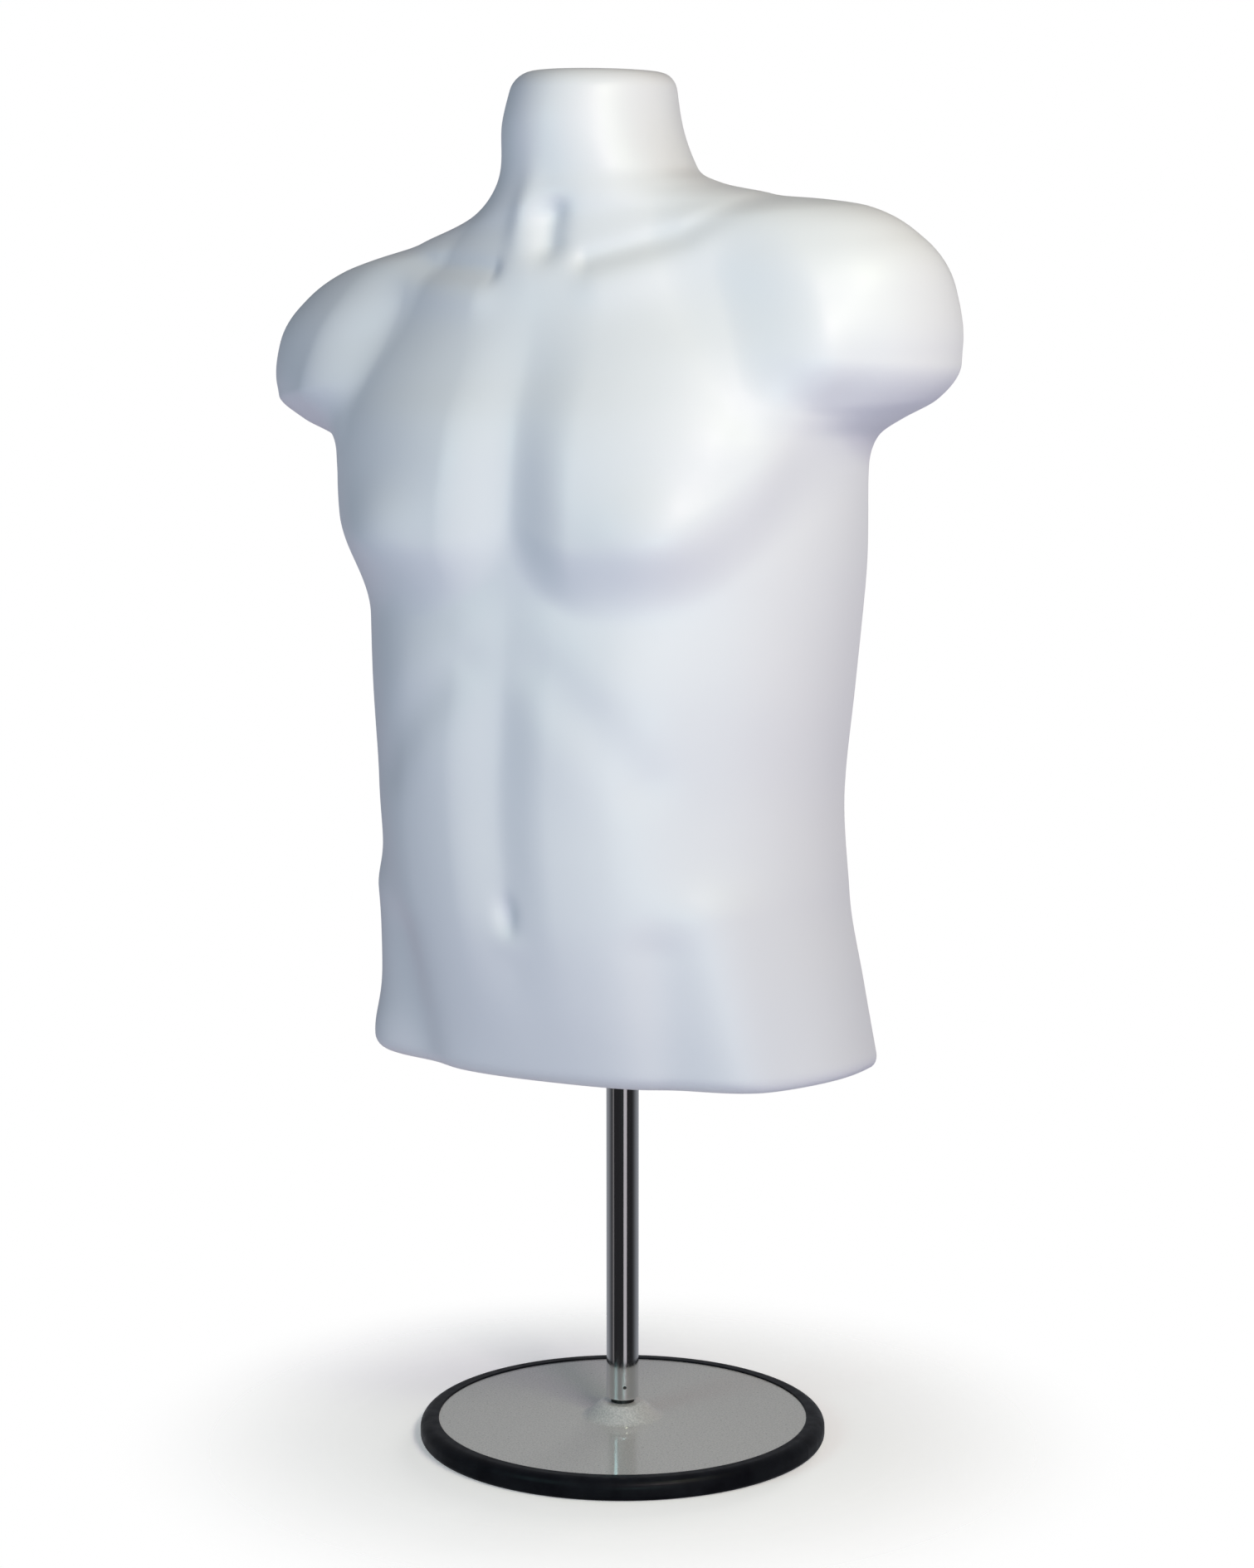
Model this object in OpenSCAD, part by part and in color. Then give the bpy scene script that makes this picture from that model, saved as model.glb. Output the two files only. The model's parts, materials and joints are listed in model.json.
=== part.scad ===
// Hollow-back male torso display form on a telescopic round-base stand.
// Origin: pole axis at the surface that the base stands on. +Z up, the torso faces -Y.

/* [Torso] */
// Height of the torso form, from its floor to the top of the neck
torso_h = 662; // [560:1:800]
// Width of the torso form across the shoulders
torso_w = 500; // [410:1:600]
// Depth of the torso form, from its open back to the front of the chest
torso_d = 178; // [145:1:215]
// Wall thickness of the moulded form
wall = 3.5; // [2.5:0.1:5]
// Distance from the pole axis back to the open rear edge
rear_reach = 40; // [40:1:50]
// Height of the torso floor above the table, at rest
torso_z = 267; // [260:1:320]
// Radius of the rounded edges at the floor and the neck top
edge_r = 12; // [6:0.5:16]

/* [Base] */
// Outer diameter of the rubber rim
base_d = 280; // [220:1:360]
// Height of the rubber rim above the table
base_h = 15; // [14:0.5:20]
// Width of the rubber rim that shows around the plate
rim_w = 12.8; // [11:0.1:18]
// Thickness of the pressed steel plate
plate_t = 2; // [1.5:0.1:3]
// Diameter of the raised boss where it meets the plate
boss_d = 58; // [44:1:80]
// Height of the raised boss above the plate
boss_h = 10; // [8:0.5:14]

/* [Pole] */
// Outer diameter of the lower chrome tube
pole_d = 22.2; // [19:0.1:28]
// Wall thickness of the lower chrome tube
pole_wall = 1.2; // [1:0.1:1.6]
// Outer diameter of the upper, sliding tube
inner_d = 16; // [12:0.1:17]
// Wall thickness of the upper tube
inner_wall = 1.2; // [1:0.1:1.6]
// Height of the gap between the boss and the lower tube
foot_gap = 3; // [1:0.5:5]
// How far the torso can be raised from rest
travel_up = 200; // [100:5:240]
// How far the torso can be lowered from rest
travel_down = 200; // [100:5:205]
// Radial clearance of a part that slides or turns on another
slip = 0.08; // [0.04:0.01:0.1]

/* [Lock] */
// Outside diameter of the lock collar
collar_d = 32; // [30:1:36]
// Diameter of the clamp screw
screw_d = 8; // [6:1:10]
// Diameter of the hand knob
knob_d = 26; // [22:1:30]
// Thickness of the hand knob
knob_t = 13; // [10:1:14]

/* [Torso fittings] */
// Outside diameter of the floor bush barrel
bush_d = 30; // [29:1:40]
// Outside diameter of the socket cup in the neck
cup_d = 32; // [26:1:36]
// Depth of the socket in that cup
socket_depth = 23; // [15:1:30]
// Diameter of the pivot that turns in the socket
pivot_d = 12; // [8:1:14]

/* [Hidden] */
$fn = 96;
eps = 0.01;

// ---- base ----
plate_z = base_h - 1;                      // top face of the plate
plate_r = base_d/2 - 7;                    // edge of the plate, inside the rim
bend_r = 3;                                // outside radius of the turned-down edge
lip_z = 6;                                 // lower end of the turned-down edge
boss_top_d = 26;
boss_z = plate_z + boss_h;                 // top of the boss
stack_z = boss_z - plate_t;                // underside of the boss
bolt_d = 8;
bolt_slack = 0.4;                          // radial clearance of the bolt in the plate
bolt_grip = 20;                            // thread inside the tube plug
bolt_head_t = 5.5;
bolt_head_w = 13;                          // across flats
washer_d = 22;
washer_t = 2;
spring_d = 14;
spring_t = 2;
spring_split = 1.2;                        // width of the gap in the spring washer
rim_leg_t = 3;                             // rubber behind the plate's turned-down edge
rim_foot_r = 4;                            // rounding of the rim's foot

// ---- lower tube ----
pole_r = pole_d/2;
pole_bore_r = pole_r - pole_wall;
tube_z = boss_z + foot_gap;                // lower end of the lower tube
plug_h = 30;                               // plug length inside the tube
plug_neck_d = 16;                          // collar of the plug that shows in the gap
glide_h = 20;
sleeve_h = 30;
stop_gap = 3;                              // room left below the glide when fully lowered
overlap_gap = 20;                          // room left above the glide when fully raised
glide_z = tube_z + plug_h + stop_gap + travel_down;
inner_z = glide_z + glide_h;               // lower end of the upper tube
pole_top = inner_z + travel_up + overlap_gap + sleeve_h;
inner_r = inner_d/2;
inner_bore_r = inner_r - inner_wall;
foot_round = 2;                            // rounding of the lower tube's foot
crimp_d = 2.4;
crimp_z = tube_z + 9.5;
crimp_turn = 34;                           // direction of the crimp mark, from the front

// ---- lock collar and clamp screw ----
collar_r = collar_d/2;
collar_below = 25;                         // grip length on the lower tube
collar_above = 24;                         // height above the lower tube
collar_slack = 0.4;                        // radial clearance of the upper tube in the collar
sleeve_flange = 2;
screw_z = pole_top + 13;                   // height of the clamp screw axis
screw_boss_d = screw_d + 9;
boss_reach = collar_r + 3;                 // end of the screw boss, from the pole axis
screw_pitch = 1.25;
pad_t = 2.5;
pad_y = inner_r + 0.1;                     // inner face of the clamp pad
stud_y = pad_y + pad_t + 0.05;
knob_hub_t = 3;                            // hub between the knob's lobes and the screw boss
knob_y = boss_reach + 1 + knob_hub_t;      // inner face of the lobes
knob_lobes = 7;
knob_skin = 4;                             // plastic beyond the end of the stud
grub_d = 5;
grub_key = 2.9;                            // across the corners of its hexagon socket

// ---- neck socket ----
neck_top_z = torso_z + torso_h;
neck_under_z = neck_top_z - wall;          // underside of the neck top
stud_boss_h = 12;                          // length of the moulded screw bosses
stud_boss_d = 9;
socket_flange_t = 4;
socket_flange_d = 46;
socket_top = neck_under_z - stud_boss_h;   // top face of the socket flange
cup_h = socket_depth + 6;
cup_z = socket_top - cup_h;                // mouth of the cup
screw_ring_r = cup_d/2 + 3.5;              // radius of the screw circle, clear of the cup
tap_r = 1.3;
screw_head_d = 6.6;
screw_head_t = 2.4;
pivot_end_gap = 1.5;                       // room above the pivot in its socket
thrust_t = 1.5;
thrust_gap = 0.1;
cap_flange_t = 3;
cap_z = cup_z - thrust_gap - thrust_t - cap_flange_t;  // top end of the upper tube
cap_plug_h = 25;
cap_d = 24;
glide_plug_h = 15;                         // part of the glide inside the upper tube

// ---- floor bush ----
bush_flange_t = 2.5;
bush_flange_d = bush_d + 12;
bush_top = torso_z + wall + 16;
bush_nut_t = 8;
bush_nut_d = bush_d + 16;
bush_nut_grips = 8;

// ================= torso surface =================
// Nominal sizes for which the stations below are drawn
nom_h = 662;
nom_w = 500;
nom_d = 178;

// Stations of the form, bottom to top:
// height, offset of the centre line, half width, depth, squareness,
// widest line in front of the rear edge, reach of the arm stub, spread of the stub (deg), tilt
stations = [
    [  0,  -5, 178, 140, 2.35,  0,  0, 40,    0],
    [ 60,  -7, 168, 159, 2.25,  0,  0, 40,    0],
    [120, -11, 161, 168,  2.3,  0,  0, 40,    0],
    [190, -16, 162, 168,  2.3,  0,  0, 40,    0],
    [260, -14, 167, 168,  2.4,  0,  0, 40,    0],
    [330, -13, 173, 164, 2.35,  0,  0, 40, 0.01],
    [400, -18, 179, 162,  2.3,  0,  0, 40, 0.03],
    [418, -20, 182, 161, 2.25,  0,  6, 42, 0.04],
    [440, -23, 181, 157, 2.25,  0, 43, 44, 0.04],
    [468, -24, 181, 147,  2.2,  2, 47, 46, 0.06],
    [500, -25, 174, 138, 1.95,  8, 50, 48, 0.08],
    [530, -25, 166, 131,  1.7, 18, 48, 48,  0.1],
    [552, -23, 146, 122,  1.6, 28, 42, 46, 0.11],
    [565, -21, 112, 117, 1.75, 34, 22, 42, 0.12],
    [578, -19,  81, 115,    2, 39,  7, 40, 0.13],
    [596, -17,  64, 111,  2.1, 42,  0, 40, 0.08],
    [630, -21,  57, 110,    2, 42,  0, 40, 0.01],
    [662, -19,  52, 102,  1.9, 42,  0, 40,    0]
];

// Offset of the breastbone line from the centre line, by height
breastbone = [
    [0, -10], [120, -10], [300, -9], [388, -3], [446, 5], [491, 8], [530, 6], [570, 1], [662, 5]
];

function clamp(x, lo, hi) = min(max(x, lo), hi);
function smooth(a, b, x) = let (t = clamp((x - a)/(b - a), 0, 1)) t*t*(3 - 2*t);
function hill(x, s) = exp(-pow(x/s, 2));
function rise(t, k, i) = (t[i + 1][k] - t[i][k])/(t[i + 1][0] - t[i][0]);

// Slope of a smooth curve through column k of table t, without overshoot
function slope(t, k, i) =
    let (n = len(t))
    i == 0 ? rise(t, k, 0) :
    i == n - 1 ? rise(t, k, n - 2) :
    let (a = rise(t, k, i - 1), b = rise(t, k, i))
    a*b <= 0 ? 0 :
    let (lim = 3*min(abs(a), abs(b)))
    clamp((t[i + 1][k] - t[i - 1][k])/(t[i + 1][0] - t[i - 1][0]), -lim, lim);

// Value of column k of table t at x
function lookup_smooth(x, t, k) =
    let (
        i = max([for (j = [0:len(t) - 2]) if (j == 0 || t[j][0] <= x) j]),
        run = t[i + 1][0] - t[i][0],
        s = (x - t[i][0])/run
    )
    (2*pow(s, 3) - 3*s*s + 1)*t[i][k] + (pow(s, 3) - 2*s*s + s)*run*slope(t, k, i)
    + (3*s*s - 2*pow(s, 3))*t[i + 1][k] + (pow(s, 3) - s*s)*run*slope(t, k, i + 1);

// Distance from the line p-q
function off_line(u, h, p, q) =
    let (
        d = q - p,
        t = clamp(((u - p[0])*d[0] + (h - p[1])*d[1])/(d*d), 0, 1)
    )
    norm([u - p[0] - t*d[0], h - p[1] - t*d[1]]);
function fold(u, h, p, q, wide, amount) = amount*hill(off_line(u, h, p, q), wide);

// How far the muscles stand out at lateral place s and height h
function relief(s, h) =
    let (
        u = sqrt(s*s + 25) - 5,
        chest_out = 122 - 49*smooth(-8, 8, s),
        chest_foot = 325 + 0.0083*pow(max(0, u - chest_out), 2)
            + 0.0075*pow(max(0, 60 - u), 2),
        foot_run = 25 + 0.16*u,
        chest = smooth(-0.5*foot_run, foot_run, h - chest_foot)*smooth(-10, 41, u)
            *(1 - smooth(378, 545, h))*(1 - smooth(137, 192, u)),
        chest_full = hill(u - 85, 36)*hill(h - 363, 30),
        belly = smooth(-12, 32, u)*(1 - smooth(65, 132, u))
            *smooth(20, 160, h)*(1 - smooth(260, 350, h)),
        navel = hill(norm([s/7, (h - 118)/11]), 1),
        navel_lip = hill(norm([s/12, (h - 98)/10]), 1),
        rib_arch = max(fold(u, h, [25, 278], [63, 243], 19, 3.2),
            fold(u, h, [63, 243], [87, 209], 19, 3.2)),
        rib_bulge = 2*hill(norm([u - 51, h - 224]), 35),
        hip = fold(u, h, [123, 117], [133, 0], 21, 6.5) - fold(u, h, [93, 92], [89, 0], 20, 4.5),
        flank = 5*hill(norm([s + 131, h - 15]), 22),
        arm_line = 121 + 0.31*(535 - h),
        arm = smooth(-21, 27, u - arm_line)*smooth(-16, 17, h - 446 + 0.13*(u - 190))
            *(1 - smooth(500, 578, h)),
        arm_full = 2*hill(u - 200, 36)*hill(h - 497, 36),
        collar_bone = fold(u, h, [40, 520], [98, 535], 15, 3)
            - max(fold(u, h, [30, 535], [87, 545], 8, 4.2),
                fold(u, h, [87, 545], [137, 569], 8, 4.2)),
        cord = 3.4*hill(norm([(s + 16)/10, (h - 571)/24]), 1),
        throat = fold(s, h, [5, 569], [5, 542], 10, 7.5)
    )
    15.5*chest + 10*chest_full + 7.5*belly - 4.5*navel + 1.3*navel_lip
    - rib_arch + rib_bulge + hip + flank + 21*arm + arm_full + collar_bone + cord - throat;

// Inward step of the rounded edge at a height
function edge_step(h) =
    let (
        low = clamp(edge_r - h, 0, edge_r),
        high = clamp(h - nom_h + edge_r, 0, edge_r)
    )
    2*edge_r - sqrt(edge_r*edge_r - low*low) - sqrt(edge_r*edge_r - high*high);

// Point of the form: side runs -1 (its right rear edge) .. 0 (front) .. 1 (left rear edge)
function form_point(side, h, st, bone) =
    let (
        mid = st[0], wide = st[1], front = st[2] - st[4], square = st[3],
        back = st[4], arm = st[5], spread = st[6], tilt = st[7],
        rear_u = wide*pow(1 - pow(back/front, square), 1/square),
        rear_a = -atan2(back, rear_u),
        a = 90 - abs(side)*(90 - rear_a),
        r0 = pow(pow(cos(a)/wide, square) + pow(abs(sin(a))/front, square), -1/square),
        stub = abs(a) < spread ? pow(cos(90*a/spread), 2) : 0,
        r = r0 + arm*stub - edge_step(h),
        dir = side < 0 ? -1 : 1,
        u = dir*r*cos(a),
        k = relief(u - bone, h),
        w = abs(side) == 1 ? 0 : back + (a < 0 ? r0 : r + k)*sin(a),
        x = u + dir*k*cos(a)
    )
    [(x + mid)*torso_w/nom_w, rear_reach - w*torso_d/nom_d,
     torso_z + (h + tilt*x)*torso_h/nom_h];

// Heights of the rings of points, closer together where the form turns quickly
round_steps = 4;
ring_heights = concat(
    [for (i = [0:round_steps - 1]) edge_r*(1 - cos(90*i/round_steps))],
    [for (i = [0:14]) edge_r + i*(402 - edge_r)/15],
    [for (i = [0:9]) 402 + i*6],
    [for (i = [0:5]) 462 + i*13],
    [for (i = [0:9]) 540 + i*6],
    [for (i = [0:2]) 602 + i*(nom_h - edge_r - 602)/3],
    [for (i = [0:round_steps]) nom_h - edge_r*(1 - sin(90*i/round_steps))]
);
side_steps = 44;
rings = len(ring_heights);
cols = side_steps + 1;

// The torso's left is +X, so the columns run from +X round the front to -X
outer_grid = [
    for (h = ring_heights)
        let (
            st = [for (k = [1:8]) lookup_smooth(h, stations, k)],
            bone = lookup_smooth(h, breastbone, 1)
        )
        [for (j = [0:side_steps]) form_point(1 - 2*j/side_steps, h, st, bone)]
];

// Outward direction at a ring and column, flat in the floor, the neck top and the rear edge
function grid_normal(i, j) =
    i == 0 ? [0, 0, -1] :
    i == rings - 1 ? [0, 0, 1] :
    let (
        across = outer_grid[i][min(j + 1, cols - 1)] - outer_grid[i][max(j - 1, 0)],
        up = outer_grid[i + 1][j] - outer_grid[i - 1][j],
        rear = j == 0 || j == cols - 1,
        raw = rear ? (j == 0 ? 1 : -1)*[up[2], 0, -up[0]] : cross(up, across)
    )
    raw/norm(raw);

inner_grid = [
    for (i = [0:rings - 1])
        [for (j = [0:cols - 1]) outer_grid[i][j] - wall*grid_normal(i, j)]
];

module torso_skin() {
    n = rings*cols;
    function at(i, j) = i*cols + j;
    pts = concat([for (r = outer_grid) each r], [for (r = inner_grid) each r]);
    outside = [
        for (i = [0:rings - 2])
            for (j = [0:cols - 2])
                each [
                    [at(i, j), at(i + 1, j), at(i + 1, j + 1)],
                    [at(i, j), at(i + 1, j + 1), at(i, j + 1)]
                ]
    ];
    inside = [for (f = outside) [f[0] + n, f[2] + n, f[1] + n]];
    last = cols - 1;
    top = rings - 1;
    rear_edges = [
        for (i = [0:top - 1])
            each [
                [at(i, 0), at(i, 0) + n, at(i + 1, 0) + n, at(i + 1, 0)],
                [at(i, last), at(i + 1, last), at(i + 1, last) + n, at(i, last) + n]
            ]
    ];
    floor_out = [for (j = [0:last]) at(0, j)];
    floor_in = [for (j = [0:last]) at(0, last - j) + n];
    crown_out = [for (j = [0:last]) at(top, last - j)];
    crown_in = [for (j = [0:last]) at(top, j) + n];
    floor_edge = [at(0, 0), at(0, last), at(0, last) + n, at(0, 0) + n];
    crown_edge = [at(top, 0), at(top, 0) + n, at(top, last) + n, at(top, last)];
    polyhedron(
        pts,
        concat(outside, inside, rear_edges,
               [floor_out, floor_in, crown_out, crown_in, floor_edge, crown_edge])
    );
}

module ring_of(count, r, turn = 0) {
    for (i = [0:count - 1])
        rotate([0, 0, turn + i*360/count])
            translate([r, 0, 0])
                children();
}

module torso_shell() {
    color("white")
        difference() {
            union() {
                torso_skin();
                translate([0, 0, socket_top])
                    ring_of(3, screw_ring_r, 90)
                        cylinder(d = stud_boss_d, h = stud_boss_h + wall/2);
            }
            translate([0, 0, torso_z - 1])
                cylinder(d = bush_d, h = wall + 2);
            translate([0, 0, socket_top - 1])
                ring_of(3, screw_ring_r, 90)
                    cylinder(r = tap_r, h = stud_boss_h);
        }
}

// ================= base =================
function arc(cx, cy, r, a0, a1, n = 8) =
    [for (i = [0:n]) [cx + r*cos(a0 + (a1 - a0)*i/n), cy + r*sin(a0 + (a1 - a0)*i/n)]];

// Height of the plate's top face at radius r: flat with a flared boss
function plate_top(r) = plate_z + boss_h*(1 - smooth(boss_top_d/2, boss_d/2, r));
flare_steps = 14;
function flare(drop) = [
    for (i = [0:flare_steps])
        let (r = boss_top_d/2 + i*(boss_d - boss_top_d)/2/flare_steps)
        [r, plate_top(r) - drop]
];

module base_plate() {
    hole_r = bolt_d/2 + bolt_slack;
    under = flare(plate_t);
    color("gainsboro")
        rotate_extrude($fn = 180)
            polygon(concat(
                [[hole_r, boss_z]],
                flare(0),
                arc(plate_r - bend_r, plate_z - bend_r, bend_r, 90, 0),
                [[plate_r, lip_z], [plate_r - plate_t, lip_z]],
                arc(plate_r - bend_r, plate_z - bend_r, bend_r - plate_t, 0, 90, 4),
                [for (i = [0:flare_steps]) under[flare_steps - i]],
                [[hole_r, boss_z - plate_t]]
            ));
}

module rim_ring() {
    out_r = base_d/2;
    in_r = out_r - rim_w;                  // inner edge of the lip on the plate
    leg_r = plate_r - plate_t - rim_leg_t;
    leg_z = plate_z - plate_t - 2;         // top of that leg, clear of the plate
    crown_r = out_r - plate_r;
    lip_r = base_h - plate_z;
    color([0.08, 0.08, 0.09])
        rotate_extrude($fn = 180)
            polygon(concat(
                [[leg_r, 0]],
                arc(out_r - rim_foot_r, rim_foot_r, rim_foot_r, -90, 0),
                arc(out_r - crown_r, base_h - crown_r, crown_r, 0, 90, 10),
                arc(in_r + lip_r, base_h - lip_r, lip_r, 90, 180, 4),
                arc(plate_r - bend_r, plate_z - bend_r, bend_r, 90, 0),
                [[plate_r, lip_z], [plate_r - plate_t, lip_z],
                 [plate_r - plate_t, leg_z], [leg_r, leg_z]]
            ));
}

module flat_washer() {
    color("silver")
        translate([0, 0, stack_z - washer_t])
            difference() {
                cylinder(d = washer_d, h = washer_t);
                translate([0, 0, -1])
                    cylinder(r = bolt_d/2 + bolt_slack, h = washer_t + 2);
            }
}

// Split spring washer
module spring_washer() {
    color("silver")
        translate([0, 0, stack_z - washer_t - spring_t])
            difference() {
                cylinder(d = spring_d, h = spring_t);
                translate([0, 0, -1])
                    cylinder(r = bolt_d/2 + bolt_slack, h = spring_t + 2);
                translate([0, -spring_split/2, -1])
                    cube([spring_d, spring_split, spring_t + 2]);
            }
}

module base_bolt() {
    head_z = stack_z - washer_t - spring_t - bolt_head_t;
    color("silver")
        translate([0, 0, head_z]) {
            cylinder(d = bolt_head_w/cos(30), h = bolt_head_t, $fn = 6);
            cylinder(d = bolt_d - 0.2, h = tube_z + bolt_grip - head_z);
        }
}

// ================= pole =================
// Plug crimped into the foot of the lower tube; its collar shows as the gap above the boss
module tube_plug() {
    color("dimgray")
        difference() {
            union() {
                translate([0, 0, boss_z])
                    cylinder(d = plug_neck_d, h = foot_gap + eps);
                translate([0, 0, tube_z])
                    cylinder(r = pole_bore_r, h = plug_h);
            }
            translate([0, 0, boss_z - 1])
                cylinder(d = bolt_d, h = 1 + foot_gap + bolt_grip + 1);
        }
}

module outer_tube() {
    color([0.75, 0.76, 0.78])
        difference() {
            rotate_extrude()
                polygon(concat(
                    [[pole_bore_r, tube_z]],
                    arc(pole_r - foot_round*0.6, tube_z + foot_round*0.6, foot_round*0.6, -90, 0, 6),
                    [[pole_r, pole_top], [pole_bore_r, pole_top]]
                ));
            translate([0, 0, crimp_z])
                rotate([0, 0, crimp_turn])
                    rotate([90, 0, 0])
                        cylinder(d = crimp_d, h = pole_r + 2);
        }
}

// Plastic sleeve in the mouth of the lower tube that guides the upper tube
module guide_sleeve() {
    color([0.12, 0.12, 0.13])
        difference() {
            union() {
                translate([0, 0, pole_top - sleeve_h])
                    cylinder(r = pole_bore_r, h = sleeve_h + eps);
                translate([0, 0, pole_top])
                    cylinder(r = pole_r, h = sleeve_flange);
            }
            translate([0, 0, pole_top - sleeve_h - 1])
                cylinder(r = inner_r + slip, h = sleeve_h + sleeve_flange + 2);
        }
}

module lock_collar() {
    color([0.62, 0.63, 0.65])
        difference() {
            union() {
                translate([0, 0, pole_top - collar_below])
                    rotate_extrude()
                        polygon(concat(
                            [[0, 0]],
                            arc(collar_r - 1.5, 1.5, 1.5, -90, 0, 4),
                            arc(collar_r - 3, collar_below + collar_above - 3, 3, 0, 90, 6),
                            [[0, collar_below + collar_above]]
                        ));
                translate([0, 0, screw_z])
                    rotate([-90, 0, 0])
                        cylinder(d = screw_boss_d, h = boss_reach);
            }
            translate([0, 0, pole_top - collar_below - 1])
                cylinder(r = pole_r, h = collar_below + sleeve_flange + 1);
            translate([0, 0, pole_top])
                cylinder(r = inner_r + collar_slack, h = collar_above + 1);
            translate([0, 0, screw_z])
                rotate([-90, 0, 0])
                    cylinder(d = screw_d, h = boss_reach + 1);
            translate([0, 0, pole_top - collar_below/2])
                rotate([90, 0, 0])
                    cylinder(d = grub_d, h = collar_r + 1);
        }
}

// Grub screw that holds the collar on the lower tube
module collar_grub_screw() {
    color("dimgray")
        translate([0, 0, pole_top - collar_below/2])
            rotate([90, 0, 0])
                difference() {
                    translate([0, 0, pole_r + 0.05])
                        cylinder(d = grub_d - 0.1, h = collar_r - pole_r - 0.6);
                    translate([0, 0, collar_r - 2.5])
                        cylinder(d = grub_key, h = 4, $fn = 6);
                }
}

// Nylon pad between the clamp screw and the upper tube
module clamp_pad() {
    color([0.9, 0.9, 0.85])
        translate([0, pad_y, screw_z])
            rotate([-90, 0, 0])
                cylinder(d = screw_d - 2*slip, h = pad_t);
}

module thumb_stud() {
    color("silver")
        translate([0, stud_y, screw_z])
            rotate([-90, 0, 0])
                cylinder(d = screw_d - 2*slip, h = knob_y + knob_t - knob_skin - stud_y);
}

module thumb_knob() {
    color([0.1, 0.1, 0.11])
        translate([0, knob_y, screw_z])
            rotate([-90, 0, 0])
                difference() {
                    union() {
                        translate([0, 0, -knob_hub_t])
                            cylinder(d = screw_d + 6, h = knob_hub_t + eps);
                        linear_extrude(knob_t)
                            difference() {
                                circle(d = knob_d);
                                ring_of(knob_lobes, knob_d/2 + 2.5)
                                    circle(r = 4.5);
                            }
                    }
                    translate([0, 0, -knob_hub_t - 1])
                        cylinder(d = screw_d - 2*slip, h = knob_hub_t + 1 + knob_t - knob_skin);
                }
}

module inner_tube() {
    color([0.75, 0.76, 0.78])
        translate([0, 0, inner_z])
            difference() {
                cylinder(r = inner_r, h = cap_z - inner_z);
                translate([0, 0, -1])
                    cylinder(r = inner_bore_r, h = cap_z - inner_z + 2);
            }
}

// Plastic glide at the lower end of the upper tube
module tube_glide() {
    color([0.12, 0.12, 0.13])
        union() {
            translate([0, 0, glide_z])
                cylinder(r = pole_bore_r - slip, h = glide_h);
            translate([0, 0, inner_z - eps])
                cylinder(r = inner_bore_r, h = glide_plug_h);
        }
}

// Cap pressed into the top of the upper tube, with the pivot that the torso turns on
module top_cap() {
    pivot_z = cap_z + cap_flange_t;
    pivot_h = thrust_t + thrust_gap + socket_depth - pivot_end_gap;
    color("silver")
        union() {
            translate([0, 0, cap_z - cap_plug_h])
                cylinder(r = inner_bore_r, h = cap_plug_h + eps);
            translate([0, 0, cap_z])
                cylinder(d = cap_d, h = cap_flange_t);
            translate([0, 0, pivot_z - eps])
                cylinder(d = pivot_d, h = pivot_h);
            translate([0, 0, pivot_z + pivot_h - 2*eps])
                cylinder(d1 = pivot_d, d2 = pivot_d - 1, h = 0.5);
        }
}

module thrust_washer() {
    color([0.9, 0.9, 0.85])
        translate([0, 0, cap_z + cap_flange_t])
            difference() {
                cylinder(d = cap_d, h = thrust_t);
                translate([0, 0, -1])
                    cylinder(d = pivot_d + 0.2, h = thrust_t + 2);
            }
}

// ================= torso fittings =================
// Flanged bush in the torso floor, which slides and turns on the lower tube
module floor_bush() {
    color([0.85, 0.85, 0.86])
        difference() {
            union() {
                translate([0, 0, torso_z - bush_flange_t])
                    cylinder(d = bush_flange_d, h = bush_flange_t);
                translate([0, 0, torso_z - eps])
                    cylinder(d = bush_d, h = bush_top - torso_z + eps);
            }
            translate([0, 0, torso_z - bush_flange_t - 1])
                cylinder(r = pole_r + slip, h = bush_top - torso_z + bush_flange_t + 2);
        }
}

module bush_nut() {
    color([0.85, 0.85, 0.86])
        translate([0, 0, torso_z + wall])
            difference() {
                linear_extrude(bush_nut_t)
                    difference() {
                        circle(d = bush_nut_d);
                        ring_of(bush_nut_grips, bush_nut_d/2 + 1)
                            circle(r = 2.5);
                    }
                translate([0, 0, -1])
                    cylinder(d = bush_d, h = bush_nut_t + 2);
            }
}

// Cup under the neck top that rides on the pole's pivot
module neck_socket() {
    color([0.85, 0.85, 0.86])
        difference() {
            union() {
                translate([0, 0, cup_z])
                    cylinder(d = cup_d, h = cup_h);
                translate([0, 0, socket_top - socket_flange_t])
                    linear_extrude(socket_flange_t)
                        union() {
                            circle(d = cup_d + 4);
                            ring_of(3, screw_ring_r, 90)
                                circle(d = stud_boss_d + 1);
                        }
            }
            translate([0, 0, cup_z - 1])
                cylinder(d = pivot_d + 2*slip, h = socket_depth + 1);
            translate([0, 0, cup_z - 1])
                ring_of(3, screw_ring_r, 90)
                    cylinder(r = tap_r + 0.5, h = cup_h + 2);
            translate([0, 0, cup_z - 1])
                ring_of(3, screw_ring_r, 90)
                    cylinder(d = screw_head_d + 0.8, h = cup_h - socket_flange_t + 1);
        }
}

// Pan-head screws that hold the socket to the bosses under the neck top
module socket_screws() {
    head_z = socket_top - socket_flange_t - screw_head_t;
    color("silver")
        translate([0, 0, head_z])
            ring_of(3, screw_ring_r, 90)
                difference() {
                    union() {
                        cylinder(d = screw_head_d, h = screw_head_t);
                        cylinder(r = tap_r, h = screw_head_t + socket_flange_t + stud_boss_h - 3);
                    }
                    translate([-1.6, -0.4, -1])
                        cube([3.2, 0.8, 2]);
                    translate([-0.4, -1.6, -1])
                        cube([0.8, 3.2, 2]);
                }
}

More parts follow.
